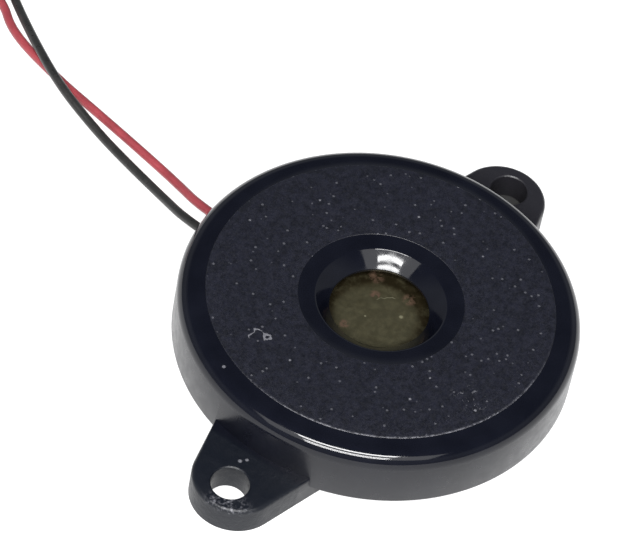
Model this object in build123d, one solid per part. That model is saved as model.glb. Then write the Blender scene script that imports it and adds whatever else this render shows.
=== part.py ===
from build123d import *
import math
import os

# A piezo element: a brass and ceramic disc in a round moulded case with two
# screw ears and two thin leads. Millimetres, +Z up. The origin is the centre
# of the base, on the surface the case is screwed to. The ears lie along X.

# ---- case ----
body_diameter = 42.0
body_height = 8.55         # seat to the gloss rings of the face
wall_lift = 1.85           # the outer wall starts this far above the seat
rim_radius = 1.7           # rounding between wall and face
skirt_step = 1.6           # the foot below the outer wall stands in by this much
skirt_wall = 0.9           # what the foot keeps outside the back cover
seat_width = 0.65          # the step that the back cover rests against
face_thickness = 1.8       # front wall, at the port

# ---- face and port ----
face_border = 2.775        # plain ring outside the textured one
annulus_inner_diameter = 17.3
annulus_height = 0.1       # the textured ring stands proud by this much
port_diameter = 10.5
port_mouth_diameter = 13.75
port_cone_depth = 1.55

# ---- ears ----
ear_hole_reach = 4.85      # from the body's wall to the middle of a screw hole
ear_hole_diameter = 4.0
ear_end_radius = 4.7
ear_end_inset = 1.35       # centre of the end arc, inwards from the hole
ear_thickness = 3.2
ear_root_half_width = 6.45
ear_root_depth = 3.0       # the root chord lies this far inside the body's wall
ear_edge_radius = 0.45

# ---- back cover ----
cover_thickness = 1.6
cover_clearance = 0.1

# ---- sounding disc ----
disc_clearance = 0.35      # around the disc, filled with adhesive
disc_thickness = 0.3
bare_border = 5.0          # brass left outside the ceramic
ceramic_thickness = 0.22
ledge_overlap = 1.1        # width of the ledge that carries the disc's edge
front_gap = 1.3            # air space between the disc and the front wall
bead_width = 1.2           # adhesive on the disc's back, inwards from its edge
bead_height = 0.5

# ---- leads ----
lead_diameter = 1.0
conductor_diameter = 0.5
lead_pitch = 2.5
lead_exit_x = 1.05         # middle of the slot, measured from the Y axis
slot_floor = 0.2           # wall left between the back cover and the slot
slot_clearance = 0.3       # around the leads, filled by the sealant
sealant_recess = 0.1       # the filling ends this far inside the wall's outside
insulation_inset = 0.95    # the insulation ends this far inside the bore
lead_straight = 2.4        # the leads run straight out this far past the wall
crossing_gap = 0.2         # between the leads where one passes over the other
solder_radius = 1.1
black_joint_gap = 0.5      # between the joint on the brass and the adhesive
red_joint_inset = 0.8      # between the joint on the ceramic and its edge
joint_rise = 0.9           # a bare conductor turns up this far before its joint
joint_bend = 0.7           # and with this radius
joint_sink = 0.3           # and ends this far short of the surface it is soldered to
tip_length = 4.0           # stripped and tinned far end

# ---- put-away coils ----
coil_radius = 5.5          # at the middle of the wire
coil_turns = 2
coil_gap = 0.05            # between one turn and the next
coil_clearance = 0.02
tail_lift = 1.4            # the lead leaves its coil this far above where it lies
tail_landing = 2.55        # and is down again after this much
tail_reach = 5.4           # and ends after this much

# ---- derived ----
body_radius = body_diameter / 2
skirt_radius = body_radius - skirt_step
recess_radius = skirt_radius - skirt_wall
cover_radius = recess_radius - cover_clearance
bore_radius = recess_radius - seat_width
disc_radius = bore_radius - disc_clearance
ceramic_radius = disc_radius - bare_border
lead_radius = lead_diameter / 2
hole_x = body_radius + ear_hole_reach
disc_top = body_height - face_thickness - front_gap
disc_bottom = disc_top - disc_thickness
ceramic_bottom = disc_bottom - ceramic_thickness
floor_z = lead_radius      # height of a lead's middle where it lies down
over_z = floor_z + lead_diameter + crossing_gap
lead_exit_z = cover_thickness + slot_floor + slot_clearance + lead_radius
lead_start = bore_radius - insulation_inset - body_radius
lead_start_y = body_radius + lead_start
black_x = lead_exit_x - lead_pitch / 2
red_x = lead_exit_x + lead_pitch / 2
black_joint_y = disc_radius - bead_width - black_joint_gap - solder_radius
red_joint_y = ceramic_radius - red_joint_inset - solder_radius
coil_pitch = lead_diameter + coil_gap
coil_height = (coil_turns + 1) * coil_pitch


def behind_wall(points):
    """A route whose second numbers are counted from the back of the body's wall."""
    return [(x, body_radius + y, z) for x, y, z in points]


# Each lead's route, from inside the case to where it meets its coil. The
# black one goes over the red one in a long low hump.
black_route = behind_wall([
    (black_x, lead_start, lead_exit_z),
    (black_x, lead_straight, lead_exit_z),
    (2.5, 8.0, floor_z),
    (4.0, 14.0, floor_z),
    (5.4, 18.8, floor_z),
    (7.1, 25.1, over_z),
    (11.0, 31.9, over_z),
    (15.9, 38.4, floor_z),
    (20.15, 43.95, floor_z),
])
red_route = behind_wall([
    (red_x, lead_start, lead_exit_z),
    (red_x, lead_straight, lead_exit_z),
    (5.1, 7.9, floor_z),
    (6.2, 13.2, floor_z),
    (7.5, 20.0, floor_z),
    (8.6, 26.2, floor_z),
    (10.8, 34.2, floor_z),
    (14.0, 37.9, floor_z),
    (15.2, 43.2, floor_z),
    (16.9, 47.9, floor_z),
])


def disc(radius, z_low, z_high):
    """An upright cylinder between two heights."""
    return Pos(0, 0, z_low) * Cylinder(
        radius, z_high - z_low, align=(Align.CENTER, Align.CENTER, Align.MIN))


def ring(outer, inner, z_low, z_high):
    return disc(outer, z_low, z_high) - disc(inner, z_low, z_high)


def ear(side):
    """One ear: a flat plate with a round end and straight flanks, its top edge rounded."""
    end_x = side * (hole_x - ear_end_inset)
    root_x = side * (body_radius - ear_root_depth)
    end_arc = Pos(end_x, 0) * Edge.make_circle(ear_end_radius)
    root = Edge.make_line((root_x, -ear_root_half_width), (root_x, ear_root_half_width))
    outline = make_hull([end_arc, root])
    plate = extrude(outline, amount=ear_thickness)
    top_edges = plate.faces().sort_by(Axis.Z)[-1].edges()
    root_edge = top_edges.sort_by(Axis.X)[0 if side > 0 else -1]
    return fillet([e for e in top_edges if e != root_edge], ear_edge_radius)


def lead_slot(margin):
    """A flat slot through the wall that takes both leads, with room around them."""
    width = lead_pitch + lead_diameter + 2 * margin
    height = lead_diameter + 2 * margin
    outline = Plane.XZ * SlotOverall(width, height)
    outside = body_radius + lead_straight
    depth = outside - body_radius / 2
    return Pos(lead_exit_x, outside, lead_exit_z) * extrude(outline, amount=depth)


def make_housing():
    body = disc(body_radius, wall_lift, body_height)
    body = fillet(body.faces().sort_by(Axis.Z)[-1].edges(), rim_radius)
    body += disc(skirt_radius, 0, wall_lift)
    body += ear(1)
    body += ear(-1)
    body += ring(body_radius - face_border, annulus_inner_diameter / 2,
                 body_height, body_height + annulus_height)
    front_z = body_height - face_thickness
    body -= disc(recess_radius, 0, cover_thickness)
    body -= disc(bore_radius, 0, disc_top)
    body -= disc(disc_radius - ledge_overlap, disc_top, front_z)
    body -= disc(port_diameter / 2, front_z, body_height)
    cone = Cone(port_diameter / 2, port_mouth_diameter / 2, port_cone_depth,
                align=(Align.CENTER, Align.CENTER, Align.MAX))
    body -= Pos(0, 0, body_height) * cone
    for side in (-1, 1):
        body -= Pos(side * hole_x, 0, 0) * disc(ear_hole_diameter / 2, 0, ear_thickness)
    return body - lead_slot(slot_clearance)


def make_adhesive():
    """An L-shaped ring: beside the disc's edge and over the border of its back."""
    beside = ring(bore_radius, disc_radius, disc_bottom, disc_top)
    behind = ring(bore_radius, disc_radius - bead_width, disc_bottom - bead_height, disc_bottom)
    return beside + behind


def swept_wire(points, diameter, name):
    """A round wire along straight runs joined by tangent arcs as large as the runs allow."""
    corners = [Vector(*p) for p in points]
    radii = []
    for before, corner, after in zip(corners, corners[1:], corners[2:]):
        shorter = min((corner - before).length, (after - corner).length)
        half_turn = math.radians((corner - before).get_angle(after - corner)) / 2
        radii.append(0.45 * shorter / math.tan(half_turn))
    path = FilletPolyline(*corners, radius=radii)
    start = Plane(corners[0], z_dir=corners[1] - corners[0])
    wire = sweep(start * Circle(diameter / 2), path=path)
    expected = math.pi * diameter ** 2 / 4 * path.length
    print(name, "length", round(path.length, 2), "radii", [round(r, 1) for r in radii],
          "volume ratio", round(wire.volume / expected, 4))
    return wire


def heading(route):
    """The direction of a route's last run, flat on the surface."""
    last = Vector(*route[-1]) - Vector(*route[-2])
    return last.normalized()


def coil_centre(route, turn):
    """The middle of the coil that the last run of a route joins; turn is 1 left, -1 right."""
    along = heading(route)
    return Vector(*route[-1]) + Vector(-along.Y, along.X, 0) * turn * coil_radius


def make_coil(route, turn):
    centre = coil_centre(route, turn)
    shape = ring(coil_radius + lead_radius, coil_radius - lead_radius, 0, coil_height)
    return Pos(centre.X, centre.Y, 0) * shape


def coil_touch():
    """How far from the tangent point a lead's side first meets the coil."""
    reach = coil_radius + lead_diameter + coil_clearance
    return math.sqrt(reach ** 2 - coil_radius ** 2)


def make_lead(route, name):
    end = Vector(*route[-1]) - heading(route) * coil_touch()
    return swept_wire(route[:-1] + [tuple(end)], lead_diameter, name)


def tail_points(route):
    """From the coil's upper turn down to the surface."""
    along = heading(route)
    last = Vector(*route[-1])
    reach = coil_touch()
    top = last + along * reach + Vector(0, 0, tail_lift)
    down = last + along * (reach + tail_landing)
    end = last + along * (reach + tail_reach)
    return [tuple(p) for p in (top, down, end)]


def make_tip(route):
    """The stripped end, in line with the lead's last run."""
    end = Vector(*tail_points(route)[-1])
    shape = Plane(end, z_dir=heading(route)) * Circle(conductor_diameter / 2)
    return extrude(shape, amount=tip_length)


def make_joint_end(x, joint_y, surface_z):
    """The bare conductor: on from the insulation, then up into its solder joint."""
    points = [
        (x, lead_start_y, lead_exit_z),
        (x, joint_y + joint_rise, lead_exit_z),
        (x, joint_y, surface_z - joint_sink),
    ]
    path = FilletPolyline(*points, radius=joint_bend)
    start = Plane(Vector(*points[0]), z_dir=(0, -1, 0))
    return sweep(start * Circle(conductor_diameter / 2), path=path)


def make_solder(x, joint_y, surface_z, conductor):
    dome = Pos(x, joint_y, surface_z) * Sphere(solder_radius)
    dome = split(dome, bisect_by=Plane.XY.offset(surface_z), keep=Keep.BOTTOM)
    return dome - conductor


def make_sealant(leads):
    fill = lead_slot(slot_clearance) & ring(body_radius - sealant_recess, bore_radius, 0, body_height)
    for lead in leads:
        fill -= lead
    return fill


red_lead = make_lead(red_route, "red lead")
black_lead = make_lead(black_route, "black lead")
red_joint_end = make_joint_end(red_x, red_joint_y, ceramic_bottom)
black_joint_end = make_joint_end(black_x, black_joint_y, disc_bottom)

parts = {
    "housing": make_housing(),
    "back_cover": disc(cover_radius, 0, cover_thickness),
    "brass_diaphragm": disc(disc_radius, disc_bottom, disc_top),
    "piezo_ceramic": disc(ceramic_radius, ceramic_bottom, disc_bottom),
    "diaphragm_adhesive": make_adhesive(),
    "lead_sealant": make_sealant([red_lead, black_lead]),
    "red_lead": red_lead,
    "black_lead": black_lead,
    "red_lead_coil": make_coil(red_route, 1),
    "black_lead_coil": make_coil(black_route, -1),
    "red_lead_tail": swept_wire(tail_points(red_route), lead_diameter, "red tail"),
    "black_lead_tail": swept_wire(tail_points(black_route), lead_diameter, "black tail"),
    "red_free_end": make_tip(red_route),
    "black_free_end": make_tip(black_route),
    "red_joint_end": red_joint_end,
    "black_joint_end": black_joint_end,
    "red_solder": make_solder(red_x, red_joint_y, ceramic_bottom, red_joint_end),
    "black_solder": make_solder(black_x, black_joint_y, disc_bottom, black_joint_end),
}

for route, turn in ((red_route, 1), (black_route, -1)):
    centre = coil_centre(route, turn)
    print("coil centre", round(centre.X, 3), round(centre.Y, 3))

os.makedirs("parts", exist_ok=True)
for name, shape in parts.items():
    export_step(shape, f"parts/{name}.step")
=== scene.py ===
# %% [markdown]
# # A piezo element
# A round black moulded case, 42 mm across, holds a brass and ceramic disc that sounds
# through a port in its face. Two ears take screws, and two thin leads come out at the
# back. The pieces hidden inside come ready from the CAD frame and only get a finish.
# What shows is remade here with clean, evenly spaced meshes, because a glossy moulding
# gives away every flat facet in its reflections.

# %% Load the frame
import math

import bmesh
import bpy
from mathutils import Matrix, Vector


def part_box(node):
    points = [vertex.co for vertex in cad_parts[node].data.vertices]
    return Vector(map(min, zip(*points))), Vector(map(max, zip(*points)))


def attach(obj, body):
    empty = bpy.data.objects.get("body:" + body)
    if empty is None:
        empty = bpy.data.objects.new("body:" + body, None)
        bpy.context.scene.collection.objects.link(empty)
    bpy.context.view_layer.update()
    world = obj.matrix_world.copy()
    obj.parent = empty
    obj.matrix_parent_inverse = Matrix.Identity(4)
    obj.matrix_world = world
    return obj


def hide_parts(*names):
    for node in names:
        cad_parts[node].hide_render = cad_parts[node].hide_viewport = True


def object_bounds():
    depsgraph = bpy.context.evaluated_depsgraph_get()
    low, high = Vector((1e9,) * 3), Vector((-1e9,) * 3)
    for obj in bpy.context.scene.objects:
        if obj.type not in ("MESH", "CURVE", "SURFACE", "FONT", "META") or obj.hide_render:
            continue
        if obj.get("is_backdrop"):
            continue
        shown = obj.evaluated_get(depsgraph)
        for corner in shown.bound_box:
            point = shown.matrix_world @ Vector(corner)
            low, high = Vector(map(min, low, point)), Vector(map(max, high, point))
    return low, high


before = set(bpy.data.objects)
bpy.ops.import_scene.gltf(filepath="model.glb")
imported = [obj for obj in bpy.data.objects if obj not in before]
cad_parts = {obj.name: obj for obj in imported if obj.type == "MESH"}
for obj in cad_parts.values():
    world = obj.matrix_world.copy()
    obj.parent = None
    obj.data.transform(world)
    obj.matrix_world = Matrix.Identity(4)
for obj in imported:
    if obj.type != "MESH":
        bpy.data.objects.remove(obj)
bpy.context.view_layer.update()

MM = 0.001
BODY = "root"

# %% [markdown]
# ## Small helpers
# Blender's operators act on whatever is selected, so each piece starts with nothing
# selected. Once a piece is made, its place goes into its mesh and its object stays at the
# origin. Unions and cuts use a second shape that is thrown away afterwards.

# %% Helpers for starting and ending a piece
def start_clean():
    if bpy.context.object and bpy.context.object.mode != "OBJECT":
        bpy.ops.object.mode_set(mode="OBJECT")
    bpy.ops.object.select_all(action="DESELECT")


def edit(piece, element="VERT"):
    start_clean()
    bpy.context.view_layer.objects.active = piece
    piece.select_set(True)
    bpy.ops.object.mode_set(mode="EDIT")
    bpy.ops.mesh.select_mode(type=element)


def settle(piece):
    """Leaves edit mode and puts the piece's place into its mesh."""
    start_clean()
    piece.select_set(True)
    bpy.context.view_layer.objects.active = piece
    bpy.ops.object.transform_apply(location=True, rotation=True, scale=True)


def smooth(piece, degrees):
    settle(piece)
    bpy.ops.object.shade_smooth_by_angle(angle=math.radians(degrees))


def carve(piece, tool, operation):
    """Joins a second shape to a piece, or cuts it away, and throws the tool away."""
    settle(piece)
    boolean = piece.modifiers.new("Boolean", "BOOLEAN")
    boolean.object = tool
    boolean.operation = operation
    boolean.solver = "EXACT"
    bpy.ops.object.modifier_apply(modifier=boolean.name)
    bpy.data.objects.remove(tool)


# %% [markdown]
# ## Round shapes
# A round moulding is drawn as one ring of points that is extruded and resized step by
# step, as a turner's profile would be. That keeps every face a neat quad. The walls of a
# hollow piece close on themselves. A tool for cutting is solid, with both ends filled.

# %% A round shape, from rings of points
def round_shape(name, profile, vertices, centre=(0, 0), solid=False):
    """profile holds (radius, height) in mm. A hollow piece's profile closes on its first
    point; a solid one's runs upwards from its lower end to its upper end."""
    start_clean()
    radius, height = profile[0]
    bpy.ops.mesh.primitive_circle_add(
        vertices=vertices, radius=radius * MM, fill_type="NGON" if solid else "NOTHING",
        location=(centre[0] * MM, centre[1] * MM, height * MM))
    piece = bpy.context.active_object
    piece.name = name
    settle(piece)
    edit(piece, "FACE" if solid else "EDGE")
    bpy.ops.mesh.select_all(action="SELECT")
    middle = (centre[0] * MM, centre[1] * MM, 0)
    ends = profile[1:] if solid else profile[1:] + profile[:1]
    for (r0, z0), (r1, z1) in zip(profile, ends):
        bpy.ops.mesh.extrude_region_move(
            TRANSFORM_OT_translate={"value": (0, 0, (z1 - z0) * MM)})
        bpy.ops.transform.resize(value=(r1 / r0, r1 / r0, 1), center_override=middle)
    bpy.ops.mesh.select_all(action="SELECT")
    if not solid:
        bpy.ops.mesh.remove_doubles(threshold=0.001 * MM)
    bpy.ops.mesh.normals_make_consistent(inside=False)
    settle(piece)
    return piece


def arc(centre_r, centre_z, radius, start, stop, steps):
    """Points of a round corner in a profile, angles in degrees from outwards."""
    points = []
    for i in range(steps + 1):
        a = math.radians(start + (stop - start) * i / steps)
        points.append((centre_r + radius * math.cos(a), centre_z + radius * math.sin(a)))
    return points


# %% [markdown]
# ## Camera
# The part lies face up and is seen from above one ear with a long lens, so its circles
# stay near true ellipses. The camera is placed by its direction and its distance from a
# point near the middle of the face, then rolled a little, as if held by hand.

# %% Place the camera
aim = Vector((1.31, 8.09, 5.0)) * MM
azimuth, elevation, roll = map(math.radians, (-63.9, 49.17, 11.41))
distance = 473.0 * MM
lens = 255.6

back = Vector((math.sin(azimuth) * math.cos(elevation),
               -math.cos(azimuth) * math.cos(elevation), math.sin(elevation)))
start_clean()
bpy.ops.object.camera_add(location=aim + back * distance)
camera = bpy.context.active_object
camera.rotation_mode = "QUATERNION"
level = back.to_track_quat("Z", "Y")
camera.rotation_quaternion = level @ Matrix.Rotation(roll, 3, "Z").to_quaternion()
camera.data.lens = lens
camera.data.clip_start = 0.01
camera.data.clip_end = 20
bpy.context.scene.camera = camera
print("camera at", [round(v / MM, 1) for v in camera.location])

# %% [markdown]
# ## The leads
# Each lead is a 1 mm stranded wire. It leaves the slot in the wall, comes down to the
# table, lies there in a loose bend, and the length that isn't used is wound into a small
# coil of two turns. The black lead steps over the red one where they cross. One smooth
# spline holds all of it. The control points of the loose stretch are listed and
# the turns are worked out by a loop.

# %% Sizes and routes of the leads, in mm
lead_diameter = 1.0
slot_height = 2.6
crossing_gap = 0.2
lie = lead_diameter / 2
over = lie + lead_diameter + crossing_gap

black_route = [
    (-0.2, 16.9, slot_height), (-0.2, 23.4, slot_height), (2.5, 29.0, lie),
    (4.0, 35.0, lie), (5.4, 39.8, lie), (7.1, 46.1, over), (11.0, 52.9, over),
    (15.9, 59.4, lie), (20.15, 64.95, lie),
]
red_route = [
    (2.3, 16.9, slot_height), (2.3, 23.4, slot_height), (5.1, 28.9, lie),
    (6.2, 34.2, lie), (7.5, 41.0, lie), (8.6, 47.2, lie), (10.8, 55.2, lie),
    (14.0, 58.9, lie), (15.2, 64.2, lie), (16.9, 68.9, lie),
]
print("black crosses at", over, "mm, red lies at", lie, "mm")

# %% Sizes of a coil, in mm
coil_radius = 5.5
coil_pitch = 1.05
coil_turns = 2
points_per_turn = 16
climb_from = 0.55
tail_lift = 1.4
tail_landing = 2.55
tail_reach = 5.4
print("a coil takes", round(math.tau * coil_radius * coil_turns, 1), "mm of lead")


# %% Work out the turns of a coil
def coil_points(route, turn):
    """Two turns that start where the route's last run touches the coil, and the end
    that comes off the upper turn. turn is 1 to the left, -1 to the right."""
    last, before = Vector(route[-1]), Vector(route[-2])
    along = (last - before).normalized()
    outward = Vector((along.y, -along.x, 0)) * turn
    centre = last - outward * coil_radius
    first_angle = math.atan2(outward.y, outward.x)
    step = math.tau / points_per_turn
    reach = coil_radius / math.cos(step / 2)
    points = []
    for i in range(coil_turns * points_per_turn):
        part = (i + 0.5) / points_per_turn
        climb = max(0.0, (part % 1 - climb_from) / (1 - climb_from))
        climb = climb * climb * (3 - 2 * climb)
        angle = first_angle + turn * (i + 0.5) * step
        height = lie + coil_pitch * (int(part) + climb)
        points.append((centre.x + reach * math.cos(angle),
                       centre.y + reach * math.sin(angle), height))
    touch = math.sqrt((coil_radius + lead_diameter) ** 2 - coil_radius ** 2)
    tail = ((touch, lie + tail_lift), (touch + tail_landing, lie), (touch + tail_reach, lie))
    for distance_on, height in tail:
        points.append(tuple(last.xy + along.xy * distance_on) + (height,))
    return points, along


# %% [markdown]
# Leads and strands alike are curves with a round section. The thickness sits in the
# radius of the points, and the bevel depth stays 1, because a curve's box grows by the
# radius of its points and so stays true to what is seen.

# %% A round wire along points
def round_wire(name, points, radius, steps, sides):
    """points and radius in mm; steps smooth the line and sides smooth the section."""
    curve = bpy.data.curves.new(name, "CURVE")
    curve.dimensions = "3D"
    spline = curve.splines.new("NURBS")
    spline.points.add(len(points) - 1)
    for point, place in zip(spline.points, points):
        point.co = (*[v * MM for v in place], 1)
        point.radius = radius * MM
    spline.order_u = 3
    spline.use_endpoint_u = True
    spline.resolution_u = steps
    curve.bevel_depth = 1
    curve.bevel_resolution = sides
    curve.use_fill_caps = True
    wire = bpy.data.objects.new(name, curve)
    bpy.context.scene.collection.objects.link(wire)
    return wire


# %% Lay the two leads
def lay_lead(name, route, turn):
    turns, along = coil_points(route, turn)
    points = route[:-1] + turns
    lead = round_wire(name, points, lead_diameter / 2, 8, 6)
    print(name, "has", len(points), "control points")
    return lead, Vector(points[-1]), along


red_lead, red_end, red_along = lay_lead("red_wire", red_route, 1)
black_lead, black_end, black_along = lay_lead("black_wire", black_route, -1)

# %% [markdown]
# The far end of each lead is stripped for 4 mm and tinned. Up close it is a bundle of
# seven fine strands laid in a twist, so that is how it is made: one straight strand in
# the middle and six that wind round it. They start a little way inside the insulation.

# %% Stripped and tinned ends
tip_length = 4.0
tip_start = 0.4
strand_radius = 0.083
strand_count = 6
strand_steps = 8
twist_turns = 0.8


def strand_points(k, start, along):
    """The line of strand k; the last one, k = strand_count, is the straight middle one."""
    side = Vector((along.y, -along.x, 0))
    up = Vector((0, 0, 1))
    offset = 0 if k == strand_count else 2 * strand_radius
    points = []
    for i in range(strand_steps + 1):
        part = i / strand_steps
        angle = math.tau * (k / strand_count + twist_turns * part)
        spread = side * math.cos(angle) + up * math.sin(angle)
        place = start + along * (tip_length * part - tip_start * (1 - part))
        points.append(place + spread * offset)
    return points


def bare_end(name, start, along):
    strands = []
    for k in range(strand_count + 1):
        strands.append(round_wire("strand", strand_points(k, start, along), strand_radius, 3, 2))
    start_clean()
    for piece in strands:
        piece.select_set(True)
    bpy.context.view_layer.objects.active = strands[0]
    bpy.ops.object.convert(target="MESH")
    bpy.ops.object.join()
    piece = bpy.context.active_object
    piece.name = name
    smooth(piece, 50)
    print(name, len(piece.data.polygons), "faces")
    return piece


red_tip = bare_end("red_tinned_end", red_end, red_along)
black_tip = bare_end("black_tinned_end", black_end, black_along)

# %% [markdown]
# The wire's own line tells how it lies, but not what it is. Each lead and its bare end
# are attached to the body, and the frame's own leads, coils, tails and free ends are hidden.

# %% Attach the leads and hide the frame's leads
for lead, tip, route, colour in ((red_lead, red_tip, red_route, "red"),
                                 (black_lead, black_tip, black_route, "black")):
    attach(lead, BODY)
    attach(tip, BODY)
    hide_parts(f"{colour}_lead", f"{colour}_lead_coil", f"{colour}_lead_tail")
    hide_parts(f"{colour}_free_end")

# %% [markdown]
# ## The case
# The real case is one injection moulding. Its profile is turned first: the foot, the
# wall with its rounded rim, the gloss ring, the textured ring that stands a little proud,
# the collar, the cone of the sound port and the hollow behind it. Sharp corners get a
# tiny round, because a moulded edge always catches a thread of light.

# %% Sizes of the case, in mm
housing_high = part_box("housing")[1] / MM
body_radius = housing_high.y
proud = 0.1
face = housing_high.z - proud
face_thickness = 1.8
wall_lift = 1.85
rim_radius = 1.7
foot_radius = 19.4
bore_radius = 17.85
ledge_radius = 16.4
ledge_height = 5.45
ring_outer = 18.225
ring_inner = 8.65
ring_loops = (16.0, 13.5, 11.0)
mouth_radius = 6.875
mouth_round = 0.45
mouth_offset = 0.19
port_radius = 5.25
cone_depth = 1.55
edge = 0.12
port_offset = edge * 0.6
nudge = 0.02
segments = 256
print("body radius", round(body_radius, 3), "mm, gloss face at", round(face, 3), "mm")

# %% Turn the body
profile = [(foot_radius, wall_lift)]
profile += arc(body_radius - edge, wall_lift + edge, edge, -90, 0, 3)
profile += arc(body_radius - rim_radius, face - rim_radius, rim_radius, 0, 90, 16)
profile += [(ring_outer + nudge, face)]
profile += arc(ring_outer - proud, face, proud, 5, 90, 5)
profile += [(r, face + proud) for r in ring_loops]
profile += arc(ring_inner + proud, face, proud, 90, 175, 5)
profile += [(ring_inner - nudge, face)]
profile += arc(mouth_radius + mouth_offset, face - mouth_round, mouth_round, 90, 136, 5)
profile += arc(port_radius + port_offset, face - cone_depth + nudge, edge, 135, 180, 3)
profile += [
    (port_radius, face - face_thickness), (ledge_radius, face - face_thickness),
    (ledge_radius, ledge_height), (bore_radius, ledge_height), (bore_radius, 0),
    (foot_radius - edge, 0), (foot_radius, edge),
]
case = round_shape("case", profile, segments)
print("case body", len(case.data.polygons), "faces")

# %% [markdown]
# Each ear is a flat plate with a round end and straight sides that widen towards the
# body. A cylinder for the end and a thin block for the root are enough: the convex hull
# of the two gives exactly that outline. Its top edge is then rounded with a bevel.

# %% Make an ear and join both to the body
hole_x = 51.7 / 2
ear_x = hole_x - 1.35
ear_radius = 4.7
ear_thickness = 3.2
ear_round = 0.45
root_x = 18.0
root_half_width = 6.45
root_block = 0.1


def round_top_edge(piece):
    """Bevels the edges of the top face, but not the one hidden in the body."""
    bpy.ops.mesh.select_mode(type="EDGE")
    bpy.ops.mesh.select_all(action="DESELECT")
    shape = bmesh.from_edit_mesh(piece.data)
    for e in shape.edges:
        outer = max(abs(v.co.x) for v in e.verts) > (root_x + 2 * root_block) * MM
        on_top = min(v.co.z for v in e.verts) > (ear_thickness - 0.01) * MM
        e.select_set(on_top and outer)
    bmesh.update_edit_mesh(piece.data)
    bpy.ops.mesh.bevel(offset=ear_round * MM, segments=5, profile=0.5)


def ear(side):
    start_clean()
    bpy.ops.mesh.primitive_cylinder_add(
        vertices=96, radius=ear_radius * MM, depth=ear_thickness * MM,
        location=(side * ear_x * MM, 0, ear_thickness / 2 * MM))
    piece = bpy.context.active_object
    settle(piece)
    edit(piece)
    bpy.ops.mesh.primitive_cube_add(
        size=1, location=(side * (root_x + root_block / 2) * MM, 0, ear_thickness / 2 * MM),
        scale=(root_block * MM, 2 * root_half_width * MM, ear_thickness * MM))
    bpy.ops.mesh.select_all(action="SELECT")
    bpy.ops.mesh.convex_hull()
    bpy.ops.mesh.select_all(action="SELECT")
    bpy.ops.mesh.dissolve_limited(angle_limit=math.radians(1))
    round_top_edge(piece)
    bpy.ops.mesh.select_all(action="SELECT")
    bpy.ops.mesh.normals_make_consistent(inside=False)
    settle(piece)
    return piece


for side in (-1, 1):
    carve(case, ear(side), "UNION")
print("case with ears", len(case.data.polygons), "faces")

# %% [markdown]
# The openings are cut last, as the steel of the mould would leave them: the two screw
# holes with a slight lead-in, the recess for the back cover, and the slot for the leads.
# Each tool runs a little beyond the face it cuts, so no two faces lie in one plane.

# %% Cut the screw holes and the recess
hole_radius = 2.0
lead_in = 0.12
recess_radius = 18.5
recess_depth = 1.6
beyond = 0.5

flare = hole_radius + lead_in + beyond
hole = [(flare, -beyond), (hole_radius, lead_in),
        (hole_radius, ear_thickness - lead_in), (flare, ear_thickness + beyond)]
for side in (-1, 1):
    carve(case, round_shape("hole", hole, 96, (side * hole_x, 0), solid=True), "DIFFERENCE")

recess = [(recess_radius, -beyond), (recess_radius, recess_depth)]
carve(case, round_shape("recess", recess, segments, solid=True), "DIFFERENCE")
print("case with holes", len(case.data.polygons), "faces")

# %% Cut the slot for the leads
slot_x = 1.05
slot_width = 4.1
slot_radius = 0.8
slot_y = 20
slot_run = 8

start_clean()
bpy.ops.mesh.primitive_cylinder_add(
    vertices=32, radius=slot_radius * MM, depth=slot_run * MM, rotation=(math.pi / 2, 0, 0),
    location=((slot_x - slot_width / 2 + slot_radius) * MM, slot_y * MM, slot_height * MM))
slot_tool = bpy.context.active_object
settle(slot_tool)
edit(slot_tool)
bpy.ops.mesh.select_all(action="SELECT")
bpy.ops.mesh.duplicate_move(
    TRANSFORM_OT_translate={"value": ((slot_width - 2 * slot_radius) * MM, 0, 0)})
bpy.ops.mesh.select_all(action="SELECT")
bpy.ops.mesh.convex_hull()
settle(slot_tool)
carve(case, slot_tool, "DIFFERENCE")

# %% Finish the case
smooth(case, 28)
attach(case, BODY)
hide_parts("housing")
print("finished case", len(case.data.polygons), "faces")

# %% [markdown]
# ## Finishes
# Every material here is built from noise on Object coordinates, so it sits still on the
# part. Numbers that are the same all over are set straight on the shader.

# %% Helpers for materials
def material(name, **sockets):
    made = bpy.data.materials.new(name)
    made.use_nodes = True
    shader = made.node_tree.nodes["Principled BSDF"]
    for key, value in sockets.items():
        shader.inputs[key.replace("_", " ")].default_value = value
    return made, made.node_tree, shader


def node(tree, kind, **settings):
    made = tree.nodes.new(kind)
    for key, value in settings.items():
        if key in made.inputs:
            made.inputs[key].default_value = value
        else:
            setattr(made, key, value)
    return made


def noise(tree, scale, detail=2.0, roughness=0.5):
    """Noise on the piece's own coordinates; scale is in features per metre."""
    place = node(tree, "ShaderNodeTexCoord")
    made = node(tree, "ShaderNodeTexNoise", Scale=scale, Detail=detail, Roughness=roughness)
    tree.links.new(place.outputs["Object"], made.inputs["Vector"])
    return made.outputs["Fac"]


def ramp(tree, value, *stops):
    """Colours or greys at places from 0 to 1."""
    made = node(tree, "ShaderNodeValToRGB")
    elements = made.color_ramp.elements
    while len(elements) < len(stops):
        elements.new(0.5)
    for element, (place, colour) in zip(elements, stops):
        element.position = place
        element.color = (colour,) * 3 + (1,) if isinstance(colour, float) else (*colour, 1)
    tree.links.new(value, made.inputs["Fac"])
    return made.outputs["Color"]


def mix(tree, factor, first, second):
    made = node(tree, "ShaderNodeMix", data_type="RGBA")
    tree.links.new(factor, made.inputs[0])
    for socket, value in ((made.inputs[6], first), (made.inputs[7], second)):
        if isinstance(value, tuple):
            socket.default_value = (*value, 1)
        else:
            tree.links.new(value, socket)
    return made.outputs[2]


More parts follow.
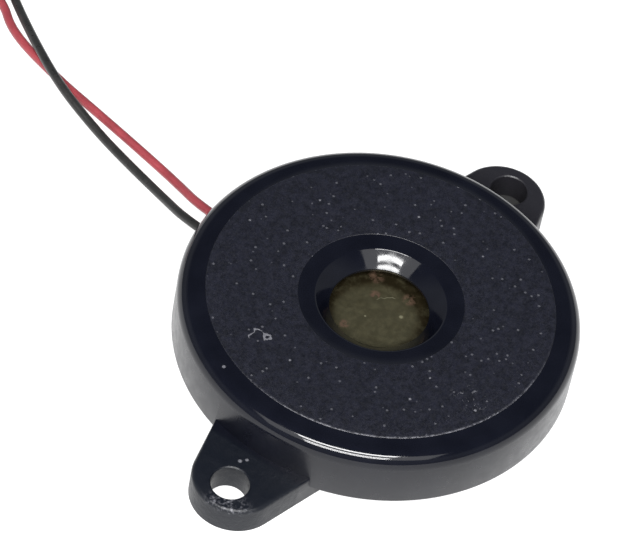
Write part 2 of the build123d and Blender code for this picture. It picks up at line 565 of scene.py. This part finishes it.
def bump(tree, shader, *layers):
    """Each layer is (height, distance in mm, strength); they add up."""
    previous = None
    for height, reach, strength in layers:
        made = node(tree, "ShaderNodeBump", Strength=strength, Distance=reach * MM)
        tree.links.new(height, made.inputs["Height"])
        if previous:
            tree.links.new(previous, made.inputs["Normal"])
        previous = made.outputs["Normal"]
    tree.links.new(previous, shader.inputs["Normal"])


def finish_with(piece, *materials):
    piece.data.materials.clear()
    for made in materials:
        piece.data.materials.append(made)


# %% [markdown]
# ### Where a mark sits
# Wear and dust belong to places, and so do painted highlights: the near ear is scuffed and has a
# painted sheen along its edge, and the ring's outer edge has a painted highlight. A mask is a number
# from 0 to 1 that says how much of a finish shows at a place. It is worked out from distances on the
# part, in mm, and joined to other masks by arithmetic.

# %% Masks that say where on the part something is
def absolute(tree, value):
    made = node(tree, "ShaderNodeMath", operation="ABSOLUTE")
    tree.links.new(value, made.inputs[0])
    return made.outputs[0]


def combine(tree, operation, *values):
    """Joins values or plain numbers by one operation, from the left."""
    total = values[0]
    for value in values[1:]:
        made = node(tree, "ShaderNodeMath", operation=operation)
        for socket, part in zip(made.inputs, (total, value)):
            if isinstance(part, (int, float)):
                socket.default_value = part
            else:
                tree.links.new(part, socket)
        total = made.outputs[0]
    return total


def along_axis(tree, axis):
    """The distance from the origin along X, Y or Z, in mm."""
    place = node(tree, "ShaderNodeTexCoord")
    split = node(tree, "ShaderNodeSeparateXYZ")
    tree.links.new(place.outputs["Object"], split.inputs[0])
    return combine(tree, "DIVIDE", split.outputs[axis], MM)


def distance_from(tree, x, y, z=None):
    """The distance from a point of the part, in mm; with no z the height is left out."""
    place = node(tree, "ShaderNodeTexCoord")
    scale = node(tree, "ShaderNodeVectorMath", operation="MULTIPLY")
    scale.inputs[1].default_value = (1 / MM, 1 / MM, 0 if z is None else 1 / MM)
    tree.links.new(place.outputs["Object"], scale.inputs[0])
    apart = node(tree, "ShaderNodeVectorMath", operation="DISTANCE")
    tree.links.new(scale.outputs[0], apart.inputs[0])
    apart.inputs[1].default_value = (x, y, z or 0)
    return apart.outputs["Value"]


def fade(tree, value, start, stop, low=0.0, high=1.0):
    """low below start, high above stop, smooth in between; start may be above stop."""
    made = node(tree, "ShaderNodeMapRange", interpolation_type="SMOOTHSTEP")
    ends = zip(("From Min", "From Max", "To Min", "To Max"), (start, stop, low, high))
    for key, number in ends:
        made.inputs[key].default_value = number
    tree.links.new(value, made.inputs["Value"])
    return made.outputs["Result"]


# %% [markdown]
# Dust comes in three kinds. Fine crumbs lie anywhere, so a cell pattern scatters them.
# The larger ones have places of their own. A hair is a thin, wavering piece of a circle.

# %% Crumbs, spots and hairs
def specks(tree, scale, size, amount):
    """Tiny irregular crumbs: the middles of some cells of a cell pattern."""
    place = node(tree, "ShaderNodeTexCoord")
    cells = node(tree, "ShaderNodeTexVoronoi", Scale=scale)
    tree.links.new(place.outputs["Object"], cells.inputs["Vector"])
    near = fade(tree, cells.outputs["Distance"], size, size * 0.5)
    dice = node(tree, "ShaderNodeSeparateColor")
    tree.links.new(cells.outputs["Color"], dice.inputs[0])
    chosen = combine(tree, "GREATER_THAN", dice.outputs[0], 1 - amount)
    return combine(tree, "MULTIPLY", near, chosen)


def spots(tree, places, z=None):
    """Round marks, each (x, y, radius) in mm."""
    marks = [fade(tree, distance_from(tree, x, y, z), radius, radius * 0.4)
             for x, y, radius in places]
    return combine(tree, "MAXIMUM", *marks)


def hair(tree, x, y, radius, mark_x, mark_y, reach):
    """A piece of a circle about x, y: only what lies within reach of the mark."""
    waver = 0.45
    line = fade(tree, noise(tree, 500, 2), 0.3, 0.7, radius - waver, radius + waver)
    off_line = absolute(tree, combine(tree, "SUBTRACT", distance_from(tree, x, y), line))
    near = fade(tree, distance_from(tree, mark_x, mark_y), reach, reach * 0.8)
    return combine(tree, "MULTIPLY", fade(tree, off_line, 0.075, 0.03), near)


# %% [markdown]
# ### Black moulding, gloss and textured
# The polished parts of the mould leave a gloss with a faint waviness and dust on it. The
# ring on the face comes from spark-eroded steel: a fine, even grain that breaks the
# reflection up. Both share one blue-black colour. The ears are duller than the rim.

# %% Gloss black: the colour
gloss, tree, shader = material("gloss_black_moulding", IOR=1.42)
dark_black, light_black = (0.0024, 0.0028, 0.0056), (0.0042, 0.0048, 0.0086)
near_ear_black, far_ear_black = (0.0042, 0.0055, 0.0090), (0.013, 0.0125, 0.0155)

tone = ramp(tree, noise(tree, 260, 3), (0.3, dark_black), (0.7, light_black))
on_ear = fade(tree, absolute(tree, along_axis(tree, "X")), body_radius, body_radius + 0.8)
far_ear = fade(tree, along_axis(tree, "X"), body_radius - 3, body_radius + 1)
tone = mix(tree, on_ear, tone, mix(tree, far_ear, near_ear_black, far_ear_black))
print("the ear's tone starts", round(body_radius, 2), "mm from the middle")

# %% Gloss black: dust, the scuffed ear with a painted sheen on its edge, and the nick in the wall
lint_and_sheen = (0.13, 0.13, 0.145)
nick_black = (0.002, 0.002, 0.003)
gloss_crumbs = [(-17.97, 7.18, 0.24), (-22.95, 0.85, 0.28), (-22.38, 0.39, 0.24)]
scuff_and_sheen_x, scuff_and_sheen_y = -29.2, -1.7
nick_place = (1.7, -20.55, 0.42)
nick_height = 4.5

crumbs = combine(tree, "MAXIMUM", specks(tree, 420, 0.10, 0.035), spots(tree, gloss_crumbs))
# The near ear's rounded top edge is scuffed, and it is also painted paler to stand in for its broad
# soft highlight.
scuff_and_painted_sheen = combine(tree, "MULTIPLY",
                  fade(tree, distance_from(tree, scuff_and_sheen_x, scuff_and_sheen_y), 3.4, 1.2),
                  fade(tree, noise(tree, 2600, 4, 0.7), 0.48, 0.66, 0.0, 0.9),
                  fade(tree, along_axis(tree, "Z"), 2.3, 3.0))
marks = combine(tree, "MAXIMUM", crumbs, scuff_and_painted_sheen)
nick = spots(tree, [nick_place], nick_height)
tone = mix(tree, nick, mix(tree, marks, tone, lint_and_sheen), nick_black)
tree.links.new(tone, shader.inputs["Base Color"])
print(len(gloss_crumbs), "larger crumbs on the gloss")

# %% Gloss black: how rough and how wavy
wall_rough, rim_rough, ear_rough = 0.30, 0.085, 0.40
rough = fade(tree, along_axis(tree, "Z"), face - 1.9, face - 1.1, wall_rough, rim_rough)
rough = combine(tree, "MAXIMUM", rough, combine(tree, "MULTIPLY", on_ear, ear_rough))
clouds = fade(tree, noise(tree, 900, 4), 0.3, 0.75, -0.03, 0.05)
tree.links.new(combine(tree, "ADD", rough, clouds), shader.inputs["Roughness"])
ripple = fade(tree, noise(tree, 1500, 4, 0.65), 0.3, 0.7)
ear_grain = combine(tree, "MULTIPLY", ripple, on_ear)
bump(tree, shader, (noise(tree, 420, 2), 0.02, 0.12), (noise(tree, 6000, 2), 0.002, 0.3),
     (ear_grain, 0.04, 0.5), (crumbs, 0.06, 0.5))
print("gloss black", len(tree.nodes), "nodes")

# %% Textured black: the grain
textured, tree, shader = material("textured_black_moulding", IOR=1.5)
pit_black, peak_black = (0.0008, 0.0012, 0.0042), (0.0062, 0.0068, 0.0135)
grain = noise(tree, 4200, 3, 0.65)
blotch = noise(tree, 1300, 5, 0.75)
tone = ramp(tree, blotch, (0.38, pit_black), (0.60, peak_black))
tree.links.new(fade(tree, grain, 0.3, 0.7, 0.42, 0.60), shader.inputs["Roughness"])
print("textured ring from", ring_inner, "to", ring_outer, "mm")

# %% Textured black: dust, hairs and the painted highlight on the outer edge
ring_crumbs = [
    (-9.05, -9.69, 0.2), (-5.44, -9.73, 0.16), (0.26, -7.52, 0.18), (3.4, 6.81, 0.22),
    (18.1, 2.42, 0.22), (-5.9, -15.6, 0.2), (6.8, 12.48, 0.16), (-0.32, 16.45, 0.16),
    (-12.92, 2.52, 0.18),
]
clump_x, clump_y = -4.9, -14.3

clump = combine(tree, "MULTIPLY",
                fade(tree, distance_from(tree, clump_x, clump_y), 2.4, 0.8),
                fade(tree, noise(tree, 1900, 3, 0.7), 0.60, 0.68, 0.0, 0.7))
crumbs = combine(tree, "MAXIMUM", specks(tree, 420, 0.075, 0.12), spots(tree, ring_crumbs),
                 hair(tree, -12.6, 6.4, 1.35, -12.3, 7.7, 1.15),
                 hair(tree, -13.1, 6.9, 1.5, -11.9, 6.1, 0.7), clump)
# A broken pale line is painted along the ring's outer edge, strongest on the near left where the key
# light falls: a painted highlight.
painted_edge_highlight = combine(tree, "MULTIPLY",
                 fade(tree, distance_from(tree, 0, 0), ring_outer - 0.28, ring_outer - 0.05),
                 fade(tree, distance_from(tree, -ring_outer, -ring_outer), 26, 13),
                 fade(tree, noise(tree, 2600, 3, 0.7), 0.42, 0.6, 0.15, 0.9))
fine = combine(tree, "MULTIPLY", specks(tree, 1700, 0.30, 0.16), 0.45)
light = combine(tree, "MAXIMUM", crumbs, painted_edge_highlight, fine)
tree.links.new(mix(tree, light, tone, lint_and_sheen), shader.inputs["Base Color"])
bump(tree, shader, (blotch, 0.05, 0.5), (grain, 0.03, 0.6), (crumbs, 0.08, 0.6))
print(len(ring_crumbs), "larger crumbs on the ring,", len(tree.nodes), "nodes in all")

# %% Give the case both finishes
raised_from = face + 0.06
finish_with(case, gloss, textured)
for polygon in case.data.polygons:
    reach = polygon.center.xy.length / MM
    raised = polygon.center.z / MM > raised_from
    polygon.material_index = int(raised and ring_inner < reach < ring_outer)
print("textured faces", sum(polygon.material_index for polygon in case.data.polygons))

# %% [markdown]
# ### Brass
# The brass disc shows through the port: a dull olive yellow with brown tarnish, and painted
# shade that darkens it further towards the rim of the port, a few rosy blotches and one bright
# scratch. A thin pale line of painted light runs along one side of the port's edge.

# %% Brass: the metal, its tarnish and the painted shade at the port's rim
brass, tree, shader = material("tarnished_brass", Metallic=0.85)
olive, bright_olive, brown_olive = (0.13, 0.115, 0.062), (0.165, 0.150, 0.085), (0.14, 0.118, 0.062)
brown, rose, straw = (0.038, 0.026, 0.011), (0.30, 0.19, 0.125), (0.50, 0.47, 0.29)

tone = ramp(tree, noise(tree, 420, 5, 0.65), (0.3, olive), (0.55, bright_olive), (0.75, brown_olive))
# Brown tarnish in patches, with painted shade that grows towards the rim of the port.
tarnish_and_rim_shade = combine(tree, "MULTIPLY",
                  fade(tree, distance_from(tree, 0.0, 0.2), 3.8, 4.9, 0.0, 0.85),
                  fade(tree, noise(tree, 700, 4, 0.7), 0.34, 0.56, 0.35, 1.0))
tone = mix(tree, tarnish_and_rim_shade, tone, brown)
tree.links.new(fade(tree, noise(tree, 1300, 4), 0.3, 0.7, 0.28, 0.46), shader.inputs["Roughness"])
bump(tree, shader, (noise(tree, 2500, 4, 0.7), 0.01, 0.4))
print("brass, metallic", round(shader.inputs["Metallic"].default_value, 2))

# %% Brass: blotches, specks, the scratch and the painted line of light
rosy_places = [(4.5, 3.2, 1.1), (2.45, 1.9, 0.75), (4.28, -1.25, 1.0), (-2.9, 2.2, 0.7)]
pale_places = [(1.76, -1.82, 0.28), (-0.6, 1.1, 0.16)]

rosy = combine(tree, "MULTIPLY", spots(tree, rosy_places),
               fade(tree, noise(tree, 1500, 4, 0.7), 0.42, 0.56))
tone = mix(tree, rosy, tone, rose)
scratch = hair(tree, -1.0, -2.6, 5.0, 2.6, 0.6, 1.1)
# A thin line of painted light along one side of the port's edge, where light falls on the disc.
painted_light_line = combine(tree, "MULTIPLY", fade(tree, distance_from(tree, 1.01, 0.49), 4.98, 5.1),
              fade(tree, distance_from(tree, -3.7, -1.8), 4.6, 2.4))
pale = combine(tree, "MAXIMUM", spots(tree, pale_places), scratch, painted_light_line)
tree.links.new(mix(tree, pale, tone, straw), shader.inputs["Base Color"])
print("brass", len(tree.nodes), "nodes")


# %% [markdown]
# ### Insulation and the hidden pieces
# The insulation is a smooth soft plastic. The ceramic, adhesive, solder and tinned copper
# are inside the case or at the far ends. They share one simple recipe: two close
# tones, a roughness that varies by a fifth either way, and a fine bump.

# %% The plainer finishes
def plain(name, low, high, grain_size, rough, metallic=0.0, depth=0.01):
    made, tree, shader = material(name, Metallic=metallic)
    tone = ramp(tree, noise(tree, grain_size, 4), (0.3, low), (0.7, high))
    tree.links.new(tone, shader.inputs["Base Color"])
    spread = ramp(tree, noise(tree, grain_size * 3, 3), (0.3, rough * 0.8), (0.7, rough * 1.2))
    tree.links.new(spread, shader.inputs["Roughness"])
    bump(tree, shader, (noise(tree, grain_size * 4, 3), depth, 0.4))
    return made


silvered = plain("silvered_ceramic", (0.50, 0.49, 0.46), (0.62, 0.61, 0.58), 900, 0.5, 0.6)
silicone = plain("silicone", (0.55, 0.55, 0.52), (0.66, 0.66, 0.63), 500, 0.45, 0.0, 0.05)
tinned = plain("tinned_copper", (0.55, 0.53, 0.49), (0.68, 0.66, 0.62), 2500, 0.28, 1.0)
solder = plain("solder", (0.55, 0.55, 0.54), (0.68, 0.68, 0.67), 1200, 0.3, 1.0)
red_cover = plain("red_insulation", (0.22, 0.035, 0.042), (0.29, 0.046, 0.055), 700, 0.36)
black_cover = plain("black_insulation", (0.014, 0.014, 0.013), (0.024, 0.023, 0.022), 700, 0.32)
print("materials so far", len(bpy.data.materials))

# %% Put them on
finish_with(red_lead, red_cover)
finish_with(black_lead, black_cover)
finish_with(red_tip, tinned)
finish_with(black_tip, tinned)
finishes = {
    "brass_diaphragm": brass, "piezo_ceramic": silvered, "back_cover": textured,
    "diaphragm_adhesive": silicone, "lead_sealant": silicone,
    "red_joint_end": tinned, "black_joint_end": tinned,
    "red_solder": solder, "black_solder": solder,
}
for name, made in finishes.items():
    finish_with(bpy.data.objects[name], made)
print("CAD nodes with a finish of their own", len(finishes))

# %% [markdown]
# ## Floor
# A white table, lit bright enough to burn out, is what the glossy wall mirrors. It lies a
# hair below the base, because two faces in one plane show through each other. It glows by
# itself, so the lights can stay weak. Under the far ear a shadow is painted on it, dark and without
# glow, so that ear's hole looks dark.

# %% Make the floor
floor_radius = 4
floor_drop = 0.02 * MM
floor_glow = 0.82
painted_shadow_colour, pale_floor = (0.01, 0.01, 0.01), (0.35, 0.35, 0.35)
painted_shadow_places = ((26.2, 0.5), (24.6, 0))

start_clean()
bpy.ops.mesh.primitive_circle_add(
    vertices=96, radius=floor_radius, fill_type="NGON", location=(0, 0, -floor_drop))
floor = bpy.context.active_object
floor.name = "floor"
settle(floor)
floor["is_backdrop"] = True

paper, tree, shader = material("white_table", Roughness=0.6)
shader.inputs["Emission Color"].default_value = (1, 1, 1, 1)
# A shadow is painted on the floor under the far ear: dark colour and no glow there, so that ear's
# hole looks dark.
away = [fade(tree, distance_from(tree, x, y), 3.6, 4.6, 0.02, 1.0) for x, y in painted_shadow_places]
lit = combine(tree, "MINIMUM", *away)
tree.links.new(mix(tree, lit, painted_shadow_colour, pale_floor), shader.inputs["Base Color"])
tree.links.new(combine(tree, "MULTIPLY", lit, floor_glow), shader.inputs["Emission Strength"])
finish_with(floor, paper)
print("floor", round(floor_drop / MM, 2), "mm below the base")

# %% [markdown]
# ## Light
# Three wide soft strips stand behind the camera, one over the other. They draw the
# streak on the near rim and the bright patch in the cone. A larger, weaker panel behind
# them lays a haze over the face. The room itself stays dim, which keeps the face dark.

# %% Lights
key_azimuth = -66
strip_distance = 0.9
strip_width = 0.55
strips = ((39.5, 0.05, 3.6), (45.5, 0.05, 3.6), (61, 0.11, 7.0))


def soft_light(name, elevation, distance, wide, high, power):
    """An area light that faces the part; sizes and distance in metres, power in watts."""
    a, e = math.radians(key_azimuth), math.radians(elevation)
    towards = Vector((math.sin(a) * math.cos(e), -math.cos(a) * math.cos(e), math.sin(e)))
    start_clean()
    bpy.ops.object.light_add(type="AREA", location=towards * distance)
    light = bpy.context.active_object
    light.name = name
    light.rotation_mode = "QUATERNION"
    light.rotation_quaternion = towards.to_track_quat("Z", "Y")
    light.data.shape = "RECTANGLE"
    light.data.size = wide
    light.data.size_y = high
    light.data.energy = power


for elevation, high, power in strips:
    soft_light("strip", elevation, strip_distance, strip_width, high, power)
soft_light("haze", 50, 0.95, 1.35, 0.45, 4.0)
print("lights", len(strips) + 1)

# %% The dim room, brightest a little above the horizon
low_glow, level_glow, high_glow = (0.20, 0.21, 0.23), (0.34, 0.36, 0.40), (0.085, 0.095, 0.12)

world = bpy.data.worlds.new("dim_room")
bpy.context.scene.world = world
world.use_nodes = True
tree = world.node_tree
direction = node(tree, "ShaderNodeTexCoord")
split = node(tree, "ShaderNodeSeparateXYZ")
tree.links.new(direction.outputs["Generated"], split.inputs[0])
glow = ramp(tree, split.outputs["Z"], (0.0, low_glow), (0.40, level_glow),
            (0.60, high_glow), (1.0, high_glow))
tree.links.new(glow, tree.nodes["Background"].inputs["Color"])
tree.nodes["Background"].inputs["Strength"].default_value = 1
bpy.context.scene.view_settings.view_transform = "Standard"
print("room", world.name)

# %% Measure the model and finish
low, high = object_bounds()
print("visible box in mm", [round(v / MM, 2) for v in (*low, *high)])
